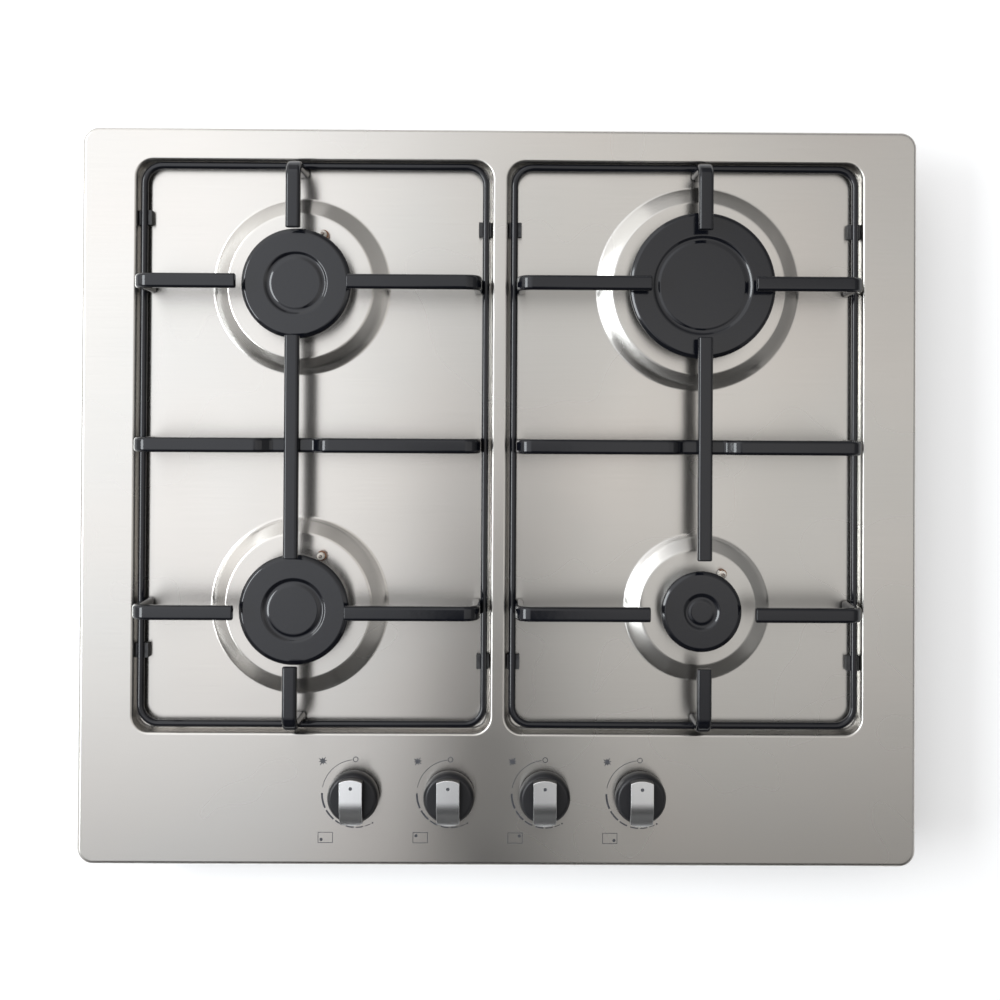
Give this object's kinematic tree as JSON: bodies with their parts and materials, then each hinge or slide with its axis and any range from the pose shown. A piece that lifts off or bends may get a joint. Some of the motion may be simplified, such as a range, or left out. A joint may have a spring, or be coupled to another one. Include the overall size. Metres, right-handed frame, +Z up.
{
  "type": "gas cooktop",
  "caption": "Built-in gas cooktop in brushed stainless steel with lift-off black pan supports, lift-off burner caps and push-and-turn knobs along the front.",
  "frame": {"origin": "under the middle of the hob, on the underside of its base tray", "axes": "+X to the right and +Y to the rear as seen by the cook, who stands at the knobs; +Z up"},
  "size_m": [0.58, 0.51, 0.091],
  "materials": {
    "stainless_sheet": "fine brushed, satin",
    "galvanised_sheet": "galvanised, dull",
    "zinc_screw": "bright zinc",
    "seal_foam": "closed-cell foam",
    "cast_aluminium": "die-cast, matte",
    "drawn_aluminium": "drawn tube",
    "brass": "machined",
    "enamel": "glossy black enamel",
    "alumina": "fired, matte",
    "spark_steel": "dull",
    "steel_tube": "zinc-coated",
    "spring_steel": "bright wire",
    "switch_plastic": "moulded",
    "module_plastic": "moulded",
    "silicone": "silicone sleeve",
    "knob_plastic": "satin gloss, black",
    "knob_metal": "brushed lengthwise",
    "foot_rubber": "matte"
  },
  "bodies": {
    "hob": {"hob_top": "stainless_sheet", "rim_seal": "seal_foam", "base_tray": "galvanised_sheet", "fixing_clamps": "galvanised_sheet", "case_screws": "zinc_screw", "burner_cups": "cast_aluminium", "injectors": "brass", "electrode_insulators": "alumina", "electrode_pins": "spark_steel", "cup_screws": "zinc_screw", "tap_bodies": "cast_aluminium", "tap_bonnets": "galvanised_sheet", "tap_springs": "spring_steel", "ignition_switches": "switch_plastic", "knob_seals": "seal_foam", "gas_manifold": "steel_tube", "manifold_straps": "galvanised_sheet", "tap_screws": "zinc_screw", "gas_pipes": "drawn_aluminium", "pipe_nuts": "brass", "gas_supply_pipe": "steel_tube", "gas_inlet": "brass", "ignition_module": "module_plastic", "ignition_leads": "silicone", "terminal_block": "switch_plastic", "cable_gland": "module_plastic"},
    "plug_front_left": {"tap_plug_front_left": "brass"},
    "knob_front_left": {"tap_spindle_front_left": "brass", "knob_body_front_left": "knob_plastic", "knob_grip_front_left": "knob_metal"},
    "crown_front_left": {"burner_crown_front_left": "cast_aluminium"},
    "cap_front_left": {"burner_cap_front_left": "enamel"},
    "plug_rear_left": {"tap_plug_rear_left": "brass"},
    "knob_rear_left": {"tap_spindle_rear_left": "brass", "knob_body_rear_left": "knob_plastic", "knob_grip_rear_left": "knob_metal"},
    "crown_rear_left": {"burner_crown_rear_left": "cast_aluminium"},
    "cap_rear_left": {"burner_cap_rear_left": "enamel"},
    "plug_rear_right": {"tap_plug_rear_right": "brass"},
    "knob_rear_right": {"tap_spindle_rear_right": "brass", "knob_body_rear_right": "knob_plastic", "knob_grip_rear_right": "knob_metal"},
    "crown_rear_right": {"burner_crown_rear_right": "cast_aluminium"},
    "cap_rear_right": {"burner_cap_rear_right": "enamel"},
    "plug_front_right": {"tap_plug_front_right": "brass"},
    "knob_front_right": {"tap_spindle_front_right": "brass", "knob_body_front_right": "knob_plastic", "knob_grip_front_right": "knob_metal"},
    "crown_front_right": {"burner_crown_front_right": "cast_aluminium"},
    "cap_front_right": {"burner_cap_front_right": "enamel"},
    "left_pan_support": {"left_support_ring": "enamel", "left_support_cross_bar": "enamel", "left_support_centre_bar": "enamel", "left_support_fingers": "enamel", "left_support_feet": "foot_rubber"},
    "right_pan_support": {"right_support_ring": "enamel", "right_support_cross_bar": "enamel", "right_support_centre_bar": "enamel", "right_support_fingers": "enamel", "right_support_feet": "foot_rubber"}
  },
  "joints": [
    {"name": "knob_turn_front_left", "type": "hinge", "parent": "hob", "child": "plug_front_left", "pos_m": [-0.09825, -0.205, 0.027], "axis": [0, 0, 1], "range_deg": [0, 210]},
    {"name": "knob_push_front_left", "type": "slide", "parent": "plug_front_left", "child": "knob_front_left", "axis": [0, 0, -1], "range_m": [0, 0.003], "stiffness_N_per_m": 1200, "springref_m": -0.004, "deforming": ["tap_springs"]},
    {"name": "crown_lift_front_left", "type": "slide", "parent": "hob", "child": "crown_front_left", "axis": [0, 0, 1], "range_m": [0, 0.008]},
    {"name": "cap_lift_front_left", "type": "slide", "parent": "crown_front_left", "child": "cap_front_left", "axis": [0, 0, 1], "range_m": [0, 0.008]},
    {"name": "knob_turn_rear_left", "type": "hinge", "parent": "hob", "child": "plug_rear_left", "pos_m": [-0.03275, -0.205, 0.027], "axis": [0, 0, 1], "range_deg": [0, 210]},
    {"name": "knob_push_rear_left", "type": "slide", "parent": "plug_rear_left", "child": "knob_rear_left", "axis": [0, 0, -1], "range_m": [0, 0.003], "stiffness_N_per_m": 1200, "springref_m": -0.004},
    {"name": "crown_lift_rear_left", "type": "slide", "parent": "hob", "child": "crown_rear_left", "axis": [0, 0, 1], "range_m": [0, 0.008]},
    {"name": "cap_lift_rear_left", "type": "slide", "parent": "crown_rear_left", "child": "cap_rear_left", "axis": [0, 0, 1], "range_m": [0, 0.008]},
    {"name": "knob_turn_rear_right", "type": "hinge", "parent": "hob", "child": "plug_rear_right", "pos_m": [0.03275, -0.205, 0.027], "axis": [0, 0, 1], "range_deg": [0, 210]},
    {"name": "knob_push_rear_right", "type": "slide", "parent": "plug_rear_right", "child": "knob_rear_right", "axis": [0, 0, -1], "range_m": [0, 0.003], "stiffness_N_per_m": 1200, "springref_m": -0.004},
    {"name": "crown_lift_rear_right", "type": "slide", "parent": "hob", "child": "crown_rear_right", "axis": [0, 0, 1], "range_m": [0, 0.008]},
    {"name": "cap_lift_rear_right", "type": "slide", "parent": "crown_rear_right", "child": "cap_rear_right", "axis": [0, 0, 1], "range_m": [0, 0.008]},
    {"name": "knob_turn_front_right", "type": "hinge", "parent": "hob", "child": "plug_front_right", "pos_m": [0.09825, -0.205, 0.027], "axis": [0, 0, 1], "range_deg": [0, 210]},
    {"name": "knob_push_front_right", "type": "slide", "parent": "plug_front_right", "child": "knob_front_right", "axis": [0, 0, -1], "range_m": [0, 0.003], "stiffness_N_per_m": 1200, "springref_m": -0.004},
    {"name": "crown_lift_front_right", "type": "slide", "parent": "hob", "child": "crown_front_right", "axis": [0, 0, 1], "range_m": [0, 0.008]},
    {"name": "cap_lift_front_right", "type": "slide", "parent": "crown_front_right", "child": "cap_front_right", "axis": [0, 0, 1], "range_m": [0, 0.008]},
    {"name": "left_pan_support_lift", "type": "slide", "parent": "hob", "child": "left_pan_support", "axis": [0, 0, 1], "range_m": [0, 0.08]},
    {"name": "right_pan_support_lift", "type": "slide", "parent": "hob", "child": "right_pan_support", "axis": [0, 0, 1], "range_m": [0, 0.08]}
  ]
}
